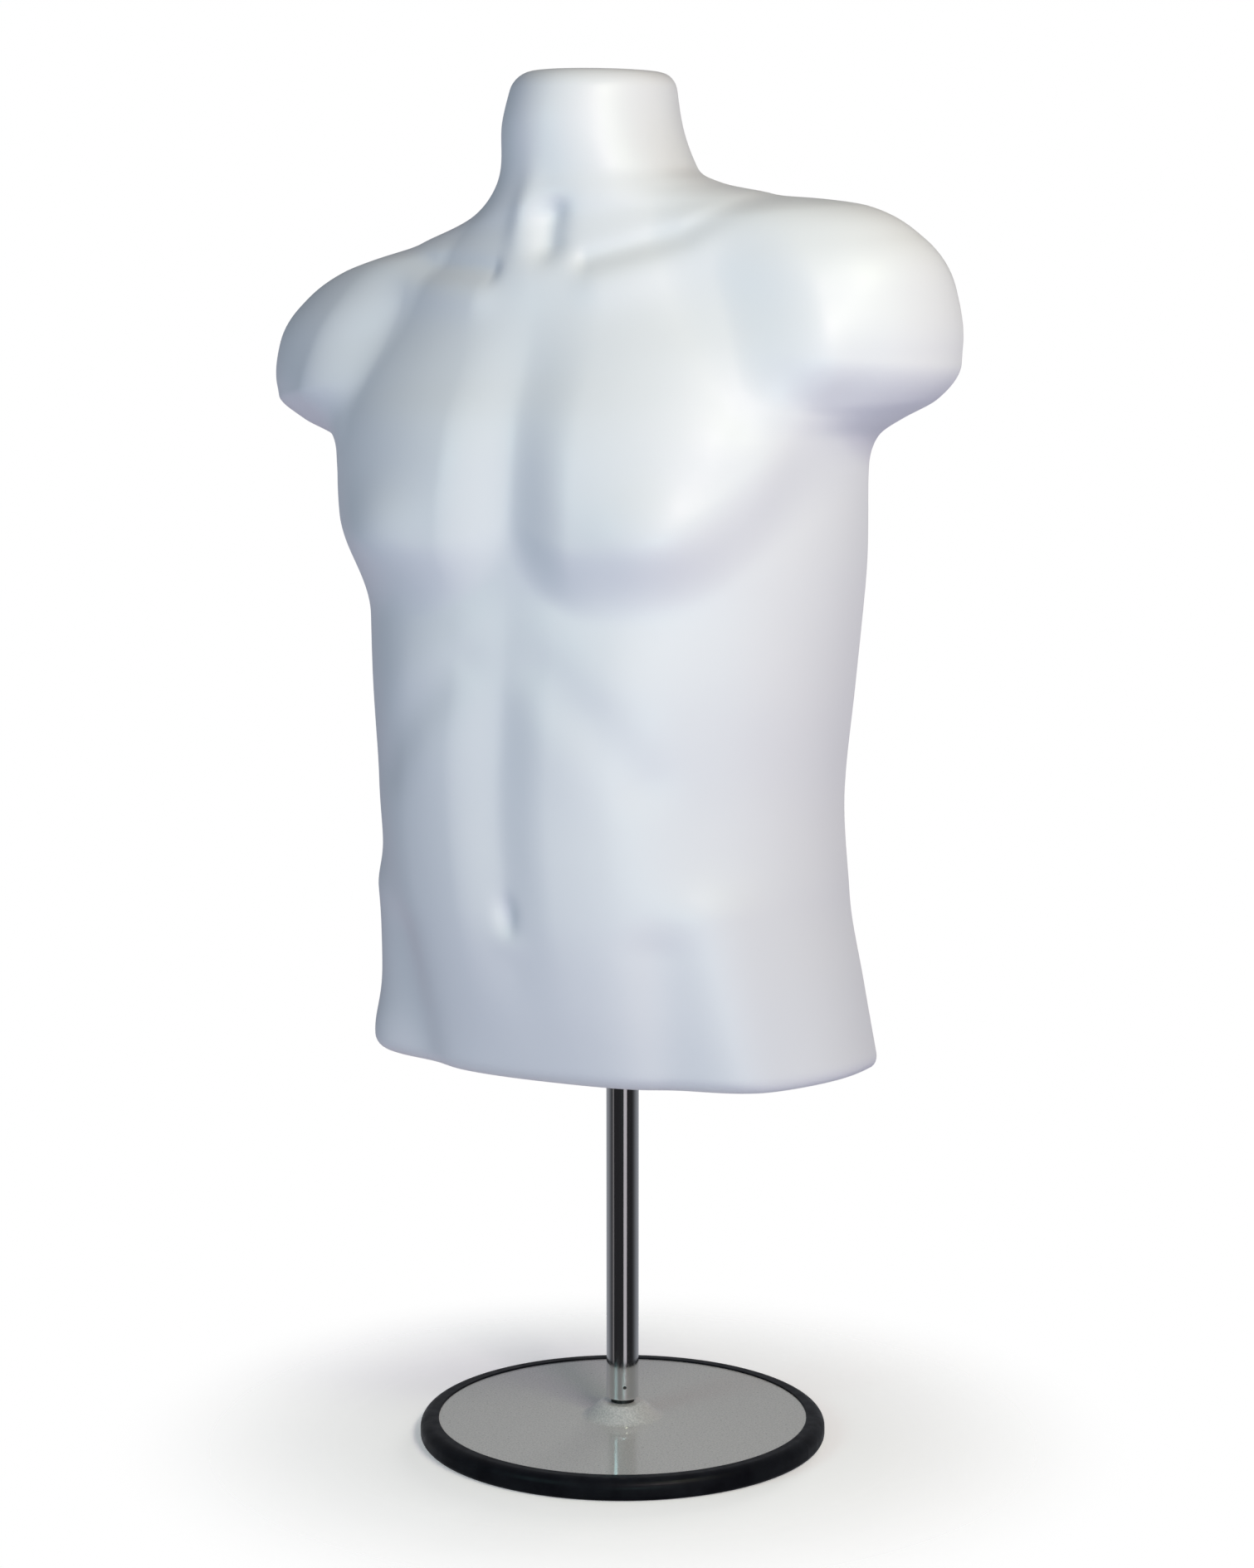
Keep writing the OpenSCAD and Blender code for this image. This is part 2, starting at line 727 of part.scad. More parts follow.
base_plate();
rim_ring();
base_bolt();
flat_washer();
spring_washer();
tube_plug();
outer_tube();
guide_sleeve();
lock_collar();
collar_grub_screw();
clamp_pad();
thumb_stud();
thumb_knob();
inner_tube();
tube_glide();
top_cap();
thrust_washer();
torso_shell();
floor_bush();
bush_nut();
neck_socket();
socket_screws();
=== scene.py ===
"""Looks of the hollow-back torso display form on its round-base stand."""
import json
import math

import bmesh
import bpy
import numpy as np
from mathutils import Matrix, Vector


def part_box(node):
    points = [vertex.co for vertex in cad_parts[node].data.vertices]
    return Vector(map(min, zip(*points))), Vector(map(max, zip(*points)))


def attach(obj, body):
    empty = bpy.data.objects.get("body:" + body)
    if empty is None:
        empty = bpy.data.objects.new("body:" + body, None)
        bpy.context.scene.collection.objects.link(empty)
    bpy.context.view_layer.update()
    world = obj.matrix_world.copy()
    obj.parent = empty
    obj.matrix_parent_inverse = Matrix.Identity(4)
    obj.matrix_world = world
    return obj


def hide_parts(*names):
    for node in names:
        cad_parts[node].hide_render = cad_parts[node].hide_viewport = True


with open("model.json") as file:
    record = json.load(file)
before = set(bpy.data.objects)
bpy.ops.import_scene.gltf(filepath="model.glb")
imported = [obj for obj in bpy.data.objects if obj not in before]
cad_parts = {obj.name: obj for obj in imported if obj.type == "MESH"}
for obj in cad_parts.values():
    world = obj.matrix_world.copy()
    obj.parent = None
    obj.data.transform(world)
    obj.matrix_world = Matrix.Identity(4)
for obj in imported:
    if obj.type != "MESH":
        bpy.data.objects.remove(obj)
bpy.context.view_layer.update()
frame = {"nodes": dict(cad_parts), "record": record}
nodes = frame["nodes"]
MM = 0.001


# ================= shape of the torso form, in millimetres =================
# ---- form ----
# Height, offset of the centre line, half width, depth, squareness,
# widest line in front of the rear edge, reach of the arm stub, spread of the stub (deg), tilt
STATIONS = np.array([
    [0, -5, 178, 140, 2.35, 0, 0, 40, 0],
    [60, -7, 168, 159, 2.25, 0, 0, 40, 0],
    [120, -11, 161, 168, 2.3, 0, 0, 40, 0],
    [190, -16, 162, 168, 2.3, 0, 0, 40, 0],
    [260, -14, 167, 168, 2.4, 0, 0, 40, 0],
    [330, -13, 173, 164, 2.35, 0, 0, 40, 0.01],
    [400, -18, 179, 162, 2.3, 0, 0, 40, 0.03],
    [418, -20, 182, 161, 2.25, 0, 6, 42, 0.04],
    [440, -23, 181, 157, 2.25, 0, 43, 44, 0.04],
    [468, -24, 181, 147, 2.2, 2, 47, 46, 0.06],
    [500, -25, 174, 138, 1.95, 8, 50, 48, 0.08],
    [530, -25, 166, 131, 1.7, 18, 48, 48, 0.1],
    [552, -23, 146, 122, 1.6, 28, 42, 46, 0.11],
    [565, -21, 112, 117, 1.75, 34, 22, 42, 0.12],
    [578, -19, 81, 115, 2, 39, 7, 40, 0.13],
    [596, -17, 64, 111, 2.1, 42, 0, 40, 0.08],
    [630, -21, 57, 110, 2, 42, 0, 40, 0.01],
    [662, -19, 52, 102, 1.9, 42, 0, 40, 0],
], float)
# Height and offset of the breastbone line from the centre line
BREASTBONE = np.array([
    [0, -10], [120, -10], [300, -9], [388, -3], [446, 5], [491, 8], [530, 6], [570, 1], [662, 5],
], float)
FORM_H = STATIONS[-1, 0]
EDGE_R = 12.0       # rounded edges at the floor and the neck top
REAR_REACH = 40.0   # from the pole axis back to the open rear edge
WALL = 3.5
TRIM_R = 1.1        # softening of the shell's cut edges
ARMPIT_H = 400.0    # heights where the form starts to turn quickly and slowly again
ARM_H = 470.0
NECK_H = 600.0
EDGE_STEPS = 9      # points of the mesh: on a rounded edge, round the side and along the rear
SIDE_POINTS = 241
FLOOR_REAR_POINTS = 40
NECK_REAR_POINTS = 30
FLOOR_RINGS = 8
NECK_RINGS = 5
BUSH_FLANGE = 6.0   # width of the flange of the floor bush
BOSS_R = 4.5        # bosses for the socket's screws
BOSS_RING = 19.5    # radius of the circle they stand on
BOSS_BORE = 1.6
BORE_DEPTH = 8.0
BORE_EDGE = 0.5
BOSS_EDGE = 0.6
BOSS_FOOT = 2.0     # flare where a boss meets the neck top
BOSS_FOOT_H = 3.0
BOSSES = 3
BOSS_SIDES = 32


def smooth(a, b, x):
    """Rises softly from 0 at a to 1 at b."""
    t = np.clip((x - a) / (b - a), 0, 1)
    return t * t * (3 - 2 * t)


def hill(x, s):
    """A bell of width s round 0."""
    return np.exp(-(x / s) ** 2)


def slopes(x, y):
    """Slopes of a smooth curve through the points, without overshoot."""
    step = np.diff(y) / np.diff(x)
    m = np.zeros(len(y))
    m[0], m[-1] = step[0], step[-1]
    for i in range(1, len(y) - 1):
        if step[i - 1] * step[i] > 0:
            limit = 3 * min(abs(step[i - 1]), abs(step[i]))
            m[i] = np.clip((y[i + 1] - y[i - 1]) / (x[i + 1] - x[i - 1]), -limit, limit)
    return m


def curve(x, table, k):
    """Value of column k of the table at x."""
    px, py = table[:, 0], table[:, k]
    m = slopes(px, py)
    x = np.clip(x, px[0], px[-1])
    i = np.clip(np.searchsorted(px, x, side="right") - 1, 0, len(px) - 2)
    run = px[i + 1] - px[i]
    s = (x - px[i]) / run
    return ((2 * s**3 - 3 * s**2 + 1) * py[i] + (s**3 - 2 * s**2 + s) * run * m[i]
            + (3 * s**2 - 2 * s**3) * py[i + 1] + (s**3 - s**2) * run * m[i + 1])


def fold(u, h, p, q, wide, amount):
    """A rounded ridge along the line p-q."""
    dx, dy = q[0] - p[0], q[1] - p[1]
    t = np.clip(((u - p[0]) * dx + (h - p[1]) * dy) / (dx * dx + dy * dy), 0, 1)
    return amount * hill(np.hypot(u - p[0] - t * dx, h - p[1] - t * dy), wide)


def relief(s, h):
    """How far the muscles stand out at lateral place s and height h."""
    u = np.sqrt(s * s + 25) - 5
    left = smooth(-8, 8, s)
    chest_out = 122 - 49 * left
    chest_foot = (325 + 0.0083 * np.maximum(0, u - chest_out) ** 2
                  + 0.0075 * np.maximum(0, 60 - u) ** 2)
    foot_run = 25 + 0.16 * u
    chest = (smooth(-0.5 * foot_run, foot_run, h - chest_foot) * smooth(-10, 41, u)
             * (1 - smooth(378, 545, h)) * (1 - smooth(137, 192, u)))
    chest_full = hill(u - 85, 36) * hill(h - 363, 30)
    belly = (smooth(-12, 32, u) * (1 - smooth(65, 132, u))
             * smooth(20, 160, h) * (1 - smooth(260, 350, h)))
    navel = hill(np.hypot(s / 7, (h - 118) / 11), 1)
    navel_lip = hill(np.hypot(s / 12, (h - 98) / 10), 1)
    rib_arch = np.maximum(fold(u, h, (25, 278), (63, 243), 19, 3.2),
                          fold(u, h, (63, 243), (87, 209), 19, 3.2))
    rib_bulge = 2 * hill(np.hypot(u - 51, h - 224), 35)
    hip = fold(u, h, (123, 117), (133, 0), 21, 6.5) - fold(u, h, (93, 92), (89, 0), 20, 4.5)
    flank = 5 * hill(np.hypot(s + 131, h - 15), 22)
    arm_line = 121 + 0.31 * (535 - h)
    arm = (smooth(-21, 27, u - arm_line) * smooth(-16, 17, h - 446 + 0.13 * (u - 190))
           * (1 - smooth(500, 578, h)))
    arm_full = 2 * hill(u - 200, 36) * hill(h - 497, 36)
    collar_bone = (fold(u, h, (40, 520), (98, 535), 15, 3)
                   - np.maximum(fold(u, h, (30, 535), (87, 545), 8, 4.2),
                                fold(u, h, (87, 545), (137, 569), 8, 4.2)))
    cord = 3.4 * hill(np.hypot((s + 16) / 10, (h - 571) / 24), 1)
    throat = fold(s, h, (5, 566), (6, 548), 11, 7)
    return (15.5 * chest + 10 * chest_full + 7.5 * belly - 4.5 * navel + 1.3 * navel_lip
            - rib_arch + rib_bulge + hip + flank + 21 * arm + arm_full
            + collar_bone + cord - throat)


def edge_step(h):
    """Inward step of the rounded edge at a height."""
    low = np.clip(EDGE_R - h, 0, EDGE_R)
    high = np.clip(h - FORM_H + EDGE_R, 0, EDGE_R)
    return 2 * EDGE_R - np.sqrt(EDGE_R**2 - low**2) - np.sqrt(EDGE_R**2 - high**2)


def form_surface(side, h):
    """Coordinates across, forward of the rear edge and up, at height h.

    side runs from -1 at the rear edge, over 0 at the front, to 1 at the rear edge on its left.
    """
    mid, wide, depth, square, back, arm, spread, tilt = (
        curve(h, STATIONS, k) for k in range(1, 9))
    front = depth - back
    rear_u = wide * (1 - (back / front) ** square) ** (1 / square)
    rear_a = -np.degrees(np.arctan2(back, rear_u))
    a = 90 - np.abs(side) * (90 - rear_a)
    cos_a, sin_a = np.cos(np.radians(a)), np.sin(np.radians(a))
    r0 = ((np.abs(cos_a) / wide) ** square + (np.abs(sin_a) / front) ** square) ** (-1 / square)
    stub = np.where(np.abs(a) < spread, np.cos(np.radians(90 * a / spread)) ** 2, 0)
    r = r0 + arm * stub - edge_step(h)
    out = np.where(side < 0, -1, 1)
    u = out * r * cos_a
    k = relief(u - curve(h, BREASTBONE, 1), h)
    w = np.where(np.abs(side) > 0.9999, 0, back + np.where(a < 0, r0, r + k) * sin_a)
    x = u + out * k * cos_a
    return x + mid, w, h + tilt * x
# ---- end form ----


# ================= meshes =================
def add_object(name, verts, faces, sharp_deg=35.0):
    """An object from vertices in millimetres, smooth but for edges sharper than sharp_deg."""
    mesh = bpy.data.meshes.new(name)
    mesh.from_pydata([tuple(v) for v in np.asarray(verts) * MM], [], faces)
    bm = bmesh.new()
    bm.from_mesh(mesh)
    bmesh.ops.remove_doubles(bm, verts=bm.verts, dist=1e-6)
    bmesh.ops.recalc_face_normals(bm, faces=bm.faces)
    bm.to_mesh(mesh)
    bm.free()
    obj = bpy.data.objects.new(name, mesh)
    bpy.context.scene.collection.objects.link(obj)
    shade(obj, sharp_deg)
    return obj


def shade(obj, sharp_deg=35.0):
    """Smooth faces, with edges sharper than sharp_deg left sharp."""
    bm = bmesh.new()
    bm.from_mesh(obj.data)
    for face in bm.faces:
        face.smooth = True
    for edge in bm.edges:
        edge.smooth = not edge.is_manifold or edge.calc_face_angle(0) < math.radians(sharp_deg)
    bm.to_mesh(obj.data)
    bm.free()


def apply_modifiers(obj):
    """Bakes the object's modifiers into its mesh."""
    bpy.context.view_layer.update()
    shaped = obj.evaluated_get(bpy.context.evaluated_depsgraph_get())
    mesh = bpy.data.meshes.new_from_object(shaped)
    obj.modifiers.clear()
    obj.data = mesh
    return obj


def bridge(first, second, count, closed=False):
    """Quads between two runs of vertices that start at the given indices."""
    steps = count if closed else count - 1
    return [(first + j, first + (j + 1) % count, second + (j + 1) % count, second + j)
            for j in range(steps)]


def ring_faces(start, count, spans):
    """Quads between closed rings of count vertices each, which follow one another from start."""
    faces = []
    for k in range(spans):
        faces += bridge(start + k * count, start + (k + 1) * count, count, closed=True)
    return faces


def lathe(name, profile, steps, centre=(0, 0, 0)):
    """A turned piece from (radius, height) points."""
    turn = np.linspace(0, 2 * np.pi, steps, endpoint=False)
    rings = [np.stack([r * np.cos(turn), r * np.sin(turn), np.full(steps, float(z))], -1)
             for r, z in profile]
    faces = ring_faces(0, steps, len(profile) - 1)
    return add_object(name, np.concatenate(rings) + np.array(centre), faces)


# ---- torso form ----
def ring_heights():
    """Heights of the form's rings, closer together where it turns quickly."""
    turn = np.radians(np.linspace(0, 90, EDGE_STEPS))
    return np.concatenate([
        EDGE_R * (1 - np.cos(turn[:-1])),
        np.linspace(EDGE_R, ARMPIT_H, 120, endpoint=False),
        np.linspace(ARMPIT_H, ARM_H, 46, endpoint=False),
        np.linspace(ARM_H, NECK_H, 80, endpoint=False),
        np.linspace(NECK_H, FORM_H - EDGE_R, 16, endpoint=False),
        FORM_H - EDGE_R * (1 - np.sin(turn)),
    ])


def rear_line(a, b, count):
    """Points between the two rear corners, without the corners."""
    t = np.linspace(0, 1, count + 2)[1:-1, None]
    return a + (b - a) * t


def torso_form():
    """The moulded form: a thin shell, open at the back, with a holed floor and a closed neck."""
    low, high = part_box("torso_shell")
    stretch = (high.z - low.z) / MM / FORM_H
    heights = ring_heights()
    rows = len(heights)
    side, h = np.meshgrid(np.linspace(1, -1, SIDE_POINTS), heights)
    x, w, up = form_surface(side, h)
    skin = np.stack([x, REAR_REACH - w, low.z / MM + up * stretch], -1)
    verts = [skin.reshape(-1, 3)]
    faces = []
    for i in range(rows - 1):
        faces += bridge(i * SIDE_POINTS, (i + 1) * SIDE_POINTS, SIDE_POINTS)

    # Floor, in rings that shrink to the hole for the bush
    bush_low, bush_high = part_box("floor_bush")
    bush_r = (bush_high.x - bush_low.x) / MM / 2 - BUSH_FLANGE
    outline = np.concatenate([skin[0], rear_line(skin[0, -1], skin[0, 0], FLOOR_REAR_POINTS)])
    reach = np.linalg.norm(outline[:, :2], axis=1, keepdims=True)
    hole = np.concatenate([outline[:, :2] / reach * bush_r, outline[:, 2:]], 1)
    start = rows * SIDE_POINTS
    for k in range(FLOOR_RINGS + 1):
        verts.append(outline + (hole - outline) * k / FLOOR_RINGS)
    faces += ring_faces(start, len(outline), FLOOR_RINGS)

    # Neck top, in rings that shrink to its middle
    start += (FLOOR_RINGS + 1) * len(outline)
    outline = np.concatenate([skin[-1], rear_line(skin[-1, -1], skin[-1, 0], NECK_REAR_POINTS)])
    middle = outline.mean(0)
    for k in range(NECK_RINGS):
        verts.append(outline + (middle - outline) * k / NECK_RINGS)
    verts.append(middle[None])
    faces += ring_faces(start, len(outline), NECK_RINGS - 1)
    last = start + (NECK_RINGS - 1) * len(outline)
    tip = start + NECK_RINGS * len(outline)
    faces += [(last + j, last + (j + 1) % len(outline), tip) for j in range(len(outline))]

    form = add_object("torso_form", np.concatenate(verts), faces)
    wall = form.modifiers.new("wall", "SOLIDIFY")
    wall.thickness = WALL * MM
    wall.offset = -1
    wall.use_even_offset = True
    trim = form.modifiers.new("trim", "BEVEL")
    trim.width = TRIM_R * MM
    trim.segments = 3
    trim.limit_method = "ANGLE"
    trim.angle_limit = math.radians(55)
    apply_modifiers(form)
    shade(form, 50)
    return form


def screw_bosses():
    """Three moulded bosses under the neck top, which take the screws of the socket."""
    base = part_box("neck_socket")[1].z / MM
    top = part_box("torso_shell")[1].z / MM - WALL / 2
    profile = [(0, base + BORE_DEPTH), (BOSS_BORE, base + BORE_DEPTH),
               (BOSS_BORE, base + BORE_EDGE), (BOSS_BORE + BORE_EDGE, base),
               (BOSS_R - BOSS_EDGE, base), (BOSS_R, base + BOSS_EDGE),
               (BOSS_R, top - BOSS_FOOT_H), (BOSS_R + BOSS_FOOT, top), (0, top)]
    for k in range(BOSSES):
        turn = math.radians(90 + 360 / BOSSES * k)
        centre = (BOSS_RING * math.cos(turn), BOSS_RING * math.sin(turn), 0)
        boss = lathe(f"screw_boss_{k + 1}", profile, BOSS_SIDES, centre)
        paint(boss, "form_white")
        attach(boss, "torso")


# ================= materials =================
class Finish:
    """A procedural material: a Principled surface with a few helpers for what varies over it."""

    def __init__(self, name, colour, roughness, metallic=0.0, specular=0.5):
        self.material = bpy.data.materials.new(name)
        self.material.use_nodes = True
        self.tree = self.material.node_tree
        self.surface = self.tree.nodes["Principled BSDF"]
        self.surface.inputs["Base Color"].default_value = (*colour, 1)
        self.surface.inputs["Roughness"].default_value = roughness
        self.surface.inputs["Metallic"].default_value = metallic
        self.surface.inputs["Specular IOR Level"].default_value = specular
        self.place = self.node("ShaderNodeTexCoord").outputs["Object"]
        self.height = None

    def node(self, kind, **values):
        made = self.tree.nodes.new(kind)
        for key, value in values.items():
            if key in made.inputs:
                made.inputs[key].default_value = value
            else:
                setattr(made, key, value)
        return made

    def link(self, a, b):
        self.tree.links.new(a, b)

    def noise(self, scale, detail=3.0, stretch=(1, 1, 1), rough=0.5):
        """A grey noise with features of about 1/scale metres."""
        mapping = self.node("ShaderNodeMapping")
        mapping.inputs["Scale"].default_value = stretch
        self.link(self.place, mapping.inputs["Vector"])
        made = self.node("ShaderNodeTexNoise")
        made.inputs["Scale"].default_value = scale
        made.inputs["Detail"].default_value = detail
        made.inputs["Roughness"].default_value = rough
        self.link(mapping.outputs["Vector"], made.inputs["Vector"])
        return made.outputs["Fac"]

    def cells(self, scale, smoothness=0.6):
        """Rounded cells of about 1/scale metres."""
        made = self.node("ShaderNodeTexVoronoi", feature="SMOOTH_F1")
        made.inputs["Scale"].default_value = scale
        made.inputs["Smoothness"].default_value = smoothness
        self.link(self.place, made.inputs["Vector"])
        return made.outputs["Distance"]

    def spread(self, source, low, high, from_low=0.3, from_high=0.7):
        """Maps a grey value to low .. high."""
        made = self.node("ShaderNodeMapRange")
        made.inputs["From Min"].default_value = from_low
        made.inputs["From Max"].default_value = from_high
        made.inputs["To Min"].default_value = low
        made.inputs["To Max"].default_value = high
        self.link(source, made.inputs["Value"])
        return made.outputs["Result"]

    def vary_colour(self, source, first, second):
        """Blends two colours over the surface."""
        made = self.node("ShaderNodeMix", data_type="RGBA")
        colours = [s for s in made.inputs if s.type == "RGBA"]
        colours[0].default_value = (*first, 1)
        colours[1].default_value = (*second, 1)
        self.link(source, made.inputs[0])
        out = [s for s in made.outputs if s.type == "RGBA"][0]
        self.link(out, self.surface.inputs["Base Color"])

    def vary_roughness(self, source, low, high):
        self.link(self.spread(source, low, high), self.surface.inputs["Roughness"])

    def bump(self, source, depth, strength=1.0):
        """Adds a bump of the given depth in metres on top of those before it."""
        made = self.node("ShaderNodeBump")
        made.inputs["Strength"].default_value = strength
        made.inputs["Distance"].default_value = depth
        self.link(source, made.inputs["Height"])
        if self.height is not None:
            self.link(self.height, made.inputs["Normal"])
        self.height = made.outputs["Normal"]
        self.link(self.height, self.surface.inputs["Normal"])

    def coat(self, weight, roughness):
        self.surface.inputs["Coat Weight"].default_value = weight
        self.surface.inputs["Coat Roughness"].default_value = roughness


def form_white():
    """Semi-matte moulded plastic: fine grain, slow waves and uneven gloss from handling."""
    made = Finish("form_white", (0.80, 0.82, 0.86), 0.42, specular=0.45)
    tone = made.spread(made.noise(5, 2), 0, 1)
    made.vary_colour(tone, (0.785, 0.81, 0.855), (0.815, 0.83, 0.865))
    made.vary_roughness(made.noise(38, 4, rough=0.6), 0.40, 0.50)
    made.bump(made.noise(30, 2), 0.0006, 0.25)
    made.bump(made.noise(1100, 2), 0.00005, 0.5)
    return made


def chrome_tube():
    """Bright chrome with the faint lengthwise lines of drawn tube."""
    made = Finish("chrome_tube", (0.80, 0.81, 0.83), 0.07, metallic=1)
    made.vary_roughness(made.noise(900, 2, stretch=(1, 1, 0.012)), 0.05, 0.11)
    made.bump(made.noise(700, 2, stretch=(1, 1, 0.01)), 0.00001, 0.35)
    return made


def plate_paint():
    """Light grey hammered enamel: shallow cells under a clear, glossy skin."""
    made = Finish("plate_paint", (0.60, 0.60, 0.58), 0.34, specular=0.5)
    speck = made.spread(made.noise(850, 2), 0, 1, 0.35, 0.65)
    made.vary_colour(speck, (0.45, 0.45, 0.44), (0.62, 0.61, 0.59))
    made.bump(made.cells(620), 0.00022, 0.5)
    made.bump(made.noise(1300, 2), 0.00012, 0.4)
    made.vary_roughness(made.noise(500, 2), 0.26, 0.4)
    made.coat(0.8, 0.07)
    return made


def rim_rubber():
    """Black extruded rubber with a soft bloom."""
    made = Finish("rim_rubber", (0.005, 0.005, 0.007), 0.42, specular=0.08)
    tone = made.spread(made.noise(60, 4), 0, 1)
    made.vary_colour(tone, (0.004, 0.004, 0.006), (0.009, 0.010, 0.013))
    made.vary_roughness(made.noise(140, 3), 0.3, 0.44)
    made.bump(made.noise(1600, 2), 0.00004, 0.5)
    return made


def zinc():
    """Bright zinc plate with its faint yellow and blue patches."""
    made = Finish("zinc", (0.60, 0.60, 0.62), 0.3, metallic=1)
    tone = made.spread(made.noise(220, 3), 0, 1)
    made.vary_colour(tone, (0.62, 0.60, 0.55), (0.58, 0.60, 0.64))
    made.vary_roughness(made.noise(700, 3), 0.22, 0.4)
    made.bump(made.noise(2200, 2), 0.00002, 0.5)
    return made


def dark_steel():
    """Black oxide on steel."""
    made = Finish("dark_steel", (0.035, 0.035, 0.038), 0.45, metallic=0.7)
    tone = made.spread(made.noise(300, 3), 0, 1)
    made.vary_colour(tone, (0.028, 0.028, 0.03), (0.05, 0.048, 0.046))
    made.vary_roughness(made.noise(900, 2), 0.36, 0.55)
    made.bump(made.noise(2500, 2), 0.00002, 0.5)
    return made


def collar_metal():
    """Satin chrome on a casting, with the soft waves of the casting underneath."""
    made = Finish("collar_metal", (0.62, 0.63, 0.65), 0.22, metallic=1)
    made.vary_roughness(made.noise(260, 3), 0.18, 0.3)
    made.bump(made.noise(180, 2), 0.00010, 0.4)
    made.bump(made.noise(2400, 2), 0.00001, 0.5)
    return made


def black_plastic():
    """Black moulding with a spark-eroded grain."""
    made = Finish("black_plastic", (0.022, 0.022, 0.024), 0.5, specular=0.45)
    tone = made.spread(made.noise(400, 3), 0, 1)
    made.vary_colour(tone, (0.018, 0.018, 0.02), (0.028, 0.028, 0.03))
    made.vary_roughness(made.noise(500, 2), 0.42, 0.58)
    made.bump(made.noise(1900, 2), 0.00006, 0.7)
    return made


def natural_nylon():
    """Unpigmented nylon."""
    made = Finish("natural_nylon", (0.76, 0.74, 0.67), 0.42, specular=0.45)
    tone = made.spread(made.noise(180, 2), 0, 1)
    made.vary_colour(tone, (0.74, 0.715, 0.64), (0.78, 0.765, 0.70))
    made.vary_roughness(made.noise(600, 2), 0.36, 0.48)
    made.bump(made.noise(1700, 2), 0.00003, 0.5)
    return made


def grey_plastic():
    """Pale grey moulding."""
    made = Finish("grey_plastic", (0.66, 0.67, 0.69), 0.45, specular=0.45)
    tone = made.spread(made.noise(90, 3), 0, 1)
    made.vary_colour(tone, (0.635, 0.645, 0.665), (0.68, 0.69, 0.71))
    made.vary_roughness(made.noise(400, 2), 0.38, 0.52)
    made.bump(made.noise(1500, 2), 0.00004, 0.5)
    return made


FINISHES = {make.__name__: make().material for make in (
    form_white, chrome_tube, plate_paint, rim_rubber, zinc, dark_steel, collar_metal,
    black_plastic, natural_nylon, grey_plastic)}


def paint(obj, slot):
    """Gives a new piece the finish of the record's slot."""
    obj.data.materials.clear()
    obj.data.materials.append(FINISHES[slot])


for part in frame["record"]["subparts"]:
    for holder in nodes[part["node"]].material_slots:
        holder.material = FINISHES[part["material_slot"]]

# ================= pieces =================
form = torso_form()
paint(form, "form_white")
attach(form, "torso")
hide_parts("torso_shell")
screw_bosses()


# ================= floor, light and camera =================
VIEW_TURN = math.radians(26)      # round to the object's left from its front
CAMERA_DISTANCE = 2.342
CAMERA_HEIGHT = 0.785
CAMERA_TILT = math.radians(8)     # below the horizon
CAMERA_PAN = 0.00306              # sideways, so that the pole stands just left of the middle
LENS = 80.25
SENSOR = 36.0
toward = Vector((math.sin(VIEW_TURN), -math.cos(VIEW_TURN), 0))
rightward = Vector((math.cos(VIEW_TURN), math.sin(VIEW_TURN), 0))

AMBIENT_BELOW = 0.60              # strength of the surroundings, as light
AMBIENT_ABOVE = 0.0
MIRRORED_BEHIND = 0.35            # and as seen in reflections
MIRRORED_AHEAD = 0.02
MIRROR_TURN = 0.4                 # where the reflections reach their darkest, as a cosine
FLOOR_FADE = (0.142, 0.36)        # radii between which the floor fades out
FLOOR_GLOW = 0.3                  # keeps the floor pale close to the base
FLOOR_CIRCLES = 12
FLOOR_SIDES = 128
CHEST = Vector((0, 0, 0.62))      # what the lamps are aimed at
TUBE = Vector((0, 0, 0.15))


def area_light(name, at, aim, size, power, colour=(1, 1, 1)):
    """A soft rectangular lamp that faces the point aim."""
    lamp = bpy.data.lights.new(name, "AREA")
    lamp.shape = "RECTANGLE"
    lamp.size, lamp.size_y = size
    lamp.energy = power
    lamp.color = colour
    obj = bpy.data.objects.new(name, lamp)
    obj.location = at
    obj.rotation_euler = (Vector(aim) - Vector(at)).to_track_quat("-Z", "Y").to_euler()
    bpy.context.scene.collection.objects.link(obj)
    return obj


def pale_floor():
    """A round pale floor that fades out into the backdrop round the object."""
    radius = FLOOR_FADE[1] / MM
    rings = [(r * radius, 0) for r in np.linspace(1, 0, FLOOR_CIRCLES)]
    floor = lathe("floor", rings, FLOOR_SIDES)
    made = Finish("floor_paint", (0.9, 0.9, 0.9), 0.85, specular=0.2)
    made.vary_colour(made.spread(made.noise(2, 2), 0, 1), (0.89, 0.89, 0.895), (0.91, 0.91, 0.91))
    apart = made.node("ShaderNodeVectorMath", operation="LENGTH")
    made.link(made.place, apart.inputs[0])
    shown = made.node("ShaderNodeMapRange", interpolation_type="SMOOTHSTEP")
    shown.inputs["From Min"].default_value = FLOOR_FADE[0]
    shown.inputs["From Max"].default_value = FLOOR_FADE[1]
    shown.inputs["To Min"].default_value = 1
    shown.inputs["To Max"].default_value = 0
    made.link(apart.outputs["Value"], shown.inputs["Value"])
    made.link(shown.outputs["Result"], made.surface.inputs["Alpha"])
    made.surface.inputs["Emission Color"].default_value = (1, 1, 1, 1)
    made.surface.inputs["Emission Strength"].default_value = FLOOR_GLOW
    floor.data.materials.append(made.material)
    floor.visible_glossy = False


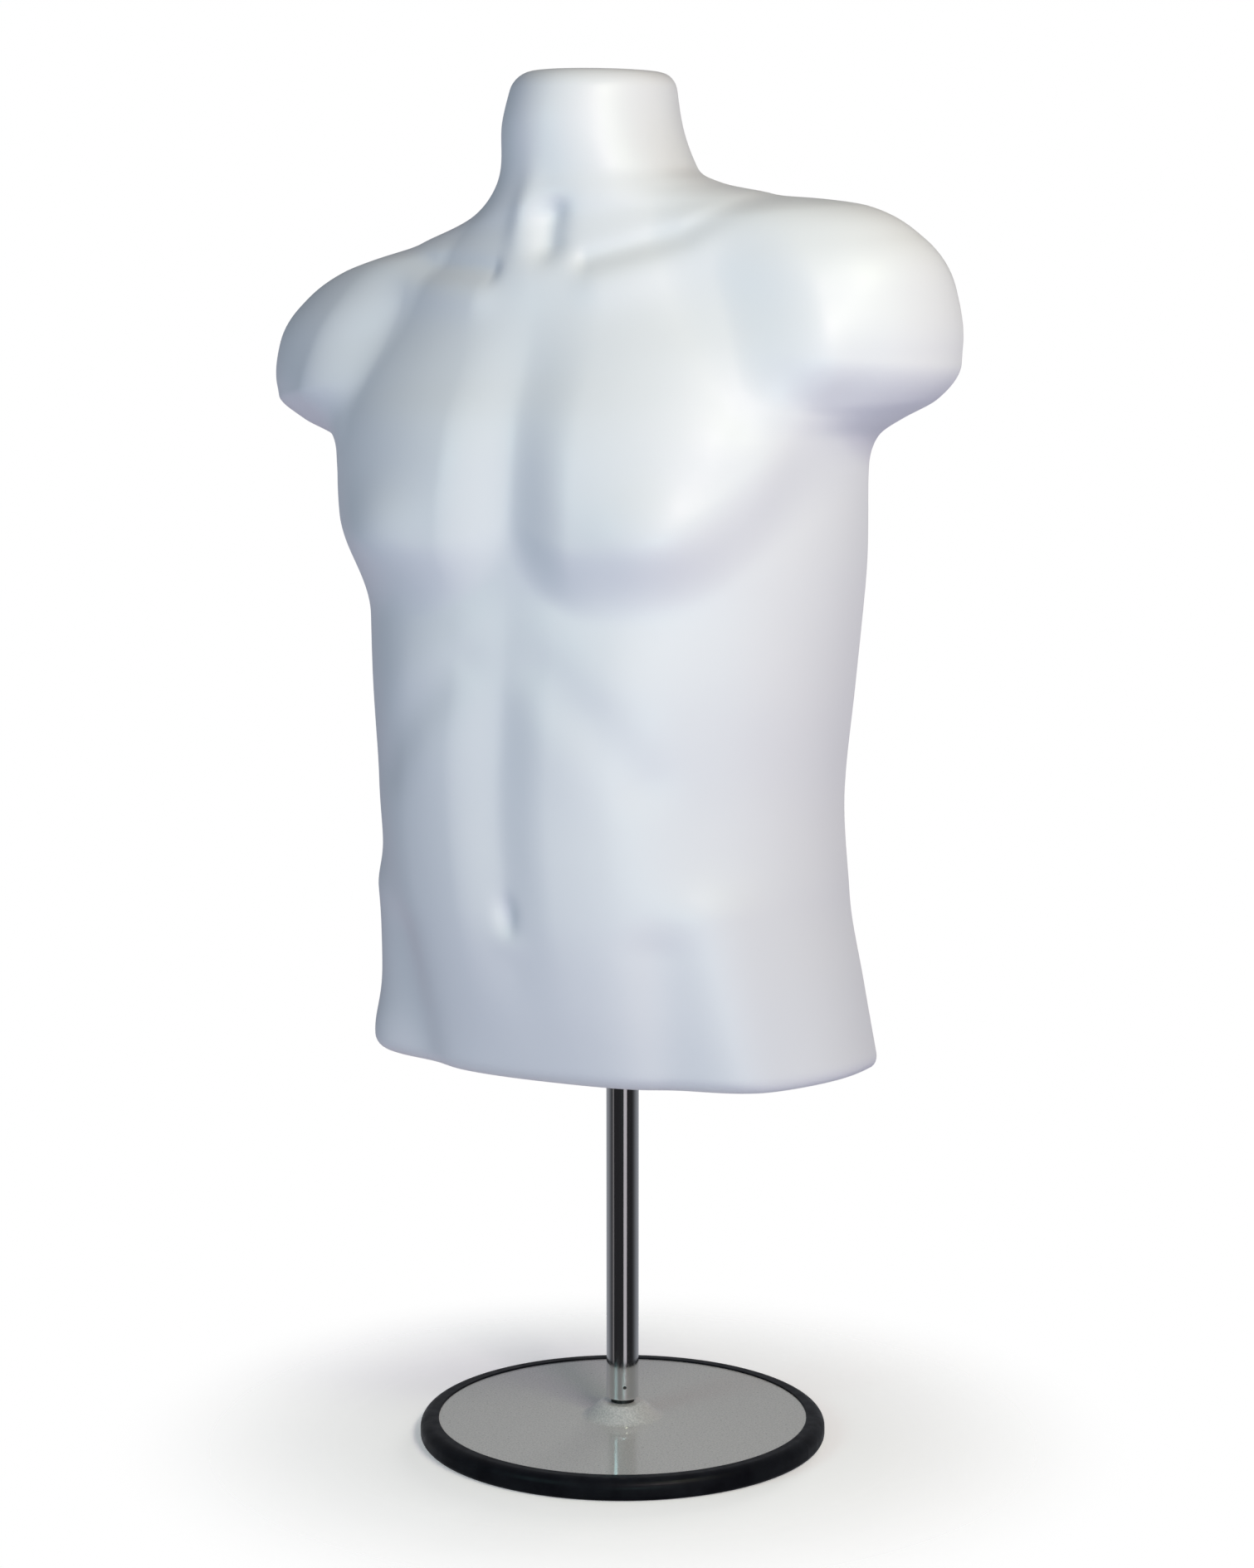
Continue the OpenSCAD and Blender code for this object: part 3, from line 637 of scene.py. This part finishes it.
def studio_world():
    """A pale backdrop, with other surroundings for the light and for what is mirrored."""
    world = bpy.data.worlds.new("studio")
    bpy.context.scene.world = world
    world.use_nodes = True
    tree = world.node_tree
    tree.nodes.clear()
    out = tree.nodes.new("ShaderNodeOutputWorld")
    path = tree.nodes.new("ShaderNodeLightPath")

    def glow(colour, strength):
        made = tree.nodes.new("ShaderNodeBackground")
        made.inputs["Color"].default_value = (*colour, 1)
        made.inputs["Strength"].default_value = strength
        return made.outputs["Background"]

    def choose(test, no, yes):
        made = tree.nodes.new("ShaderNodeMixShader")
        tree.links.new(test, made.inputs[0])
        tree.links.new(no, made.inputs[1])
        tree.links.new(yes, made.inputs[2])
        return made.outputs[0]

    # More light comes from below than from above, as over a pale counter
    place = tree.nodes.new("ShaderNodeTexCoord")
    split = tree.nodes.new("ShaderNodeSeparateXYZ")
    tree.links.new(place.outputs["Generated"], split.inputs[0])
    rise = tree.nodes.new("ShaderNodeMapRange")
    rise.inputs["From Min"].default_value = -1
    rise.inputs["From Max"].default_value = 1
    tree.links.new(split.outputs["Z"], rise.inputs["Value"])
    lit = choose(rise.outputs["Result"], glow((0.86, 0.77, 1.0), AMBIENT_BELOW),
                 glow((0.9, 0.9, 1.0), AMBIENT_ABOVE))
    # Reflections are dark in front of the object and lighter behind it
    ahead = tree.nodes.new("ShaderNodeVectorMath")
    ahead.operation = "DOT_PRODUCT"
    ahead.inputs[1].default_value = toward
    tree.links.new(place.outputs["Generated"], ahead.inputs[0])
    depth = tree.nodes.new("ShaderNodeMapRange")
    depth.interpolation_type = "SMOOTHSTEP"
    depth.inputs["From Min"].default_value = -1
    depth.inputs["From Max"].default_value = MIRROR_TURN
    tree.links.new(ahead.outputs["Value"], depth.inputs["Value"])
    mirrored = choose(depth.outputs["Result"], glow((0.9, 0.93, 1.0), MIRRORED_BEHIND),
                      glow((0.95, 0.93, 1.0), MIRRORED_AHEAD))
    seen = glow((1, 1, 1), 1.0)
    mixed = choose(path.outputs["Is Glossy Ray"], lit, mirrored)
    mixed = choose(path.outputs["Is Camera Ray"], mixed, seen)
    tree.links.new(mixed, out.inputs["Surface"])


def from_camera(right, front, height):
    """A point given to the right of the object, towards the camera, and by height, in metres."""
    return rightward * right + toward * front + Vector((0, 0, height))


pale_floor()
studio_world()
area_light("key", from_camera(0.8, 2.0, 1.7), CHEST, (0.5, 0.5), 19.6, (1.0, 0.80, 0.86))
area_light("near", from_camera(0.8, 1.0, 1.5), CHEST, (0.4, 0.4), 7.8, (0.93, 1.0, 0.68))
area_light("left", from_camera(-1.6, 1.4, 1.2), CHEST, (0.8, 0.8), 7.8, (0.55, 1.0, 1.0))
area_light("low", from_camera(0.3, 1.8, 0.2), CHEST, (0.8, 0.4), 5.0, (0.64, 1.0, 0.97))
# These two are for the chrome, which mirrors them as soft lines
area_light("strip", from_camera(0.55, 1.4, -0.3), TUBE, (0.75, 0.9), 1.0, (1.0, 0.93, 0.97))
area_light("edge", from_camera(-1.3, 0.5, -0.25), TUBE, (0.3, 0.9), 0.12, (1.0, 0.95, 0.95))
rear = area_light("rear", from_camera(0.9, -2.3, 0.7), CHEST, (0.9, 0.9), 20, (1.0, 1.0, 0.94))
rear.visible_glossy = False

lens = bpy.data.cameras.new("camera")
lens.sensor_fit = "VERTICAL"
lens.sensor_height = SENSOR
lens.lens = LENS
lens.clip_end = 100
camera = bpy.data.objects.new("camera", lens)
camera.location = from_camera(CAMERA_PAN, CAMERA_DISTANCE, CAMERA_HEIGHT)
aim = -toward * math.cos(CAMERA_TILT) - Vector((0, 0, math.sin(CAMERA_TILT)))
camera.rotation_euler = aim.to_track_quat("-Z", "Y").to_euler()
bpy.context.scene.collection.objects.link(camera)
bpy.context.scene.camera = camera
bpy.context.scene.view_settings.view_transform = "Standard"
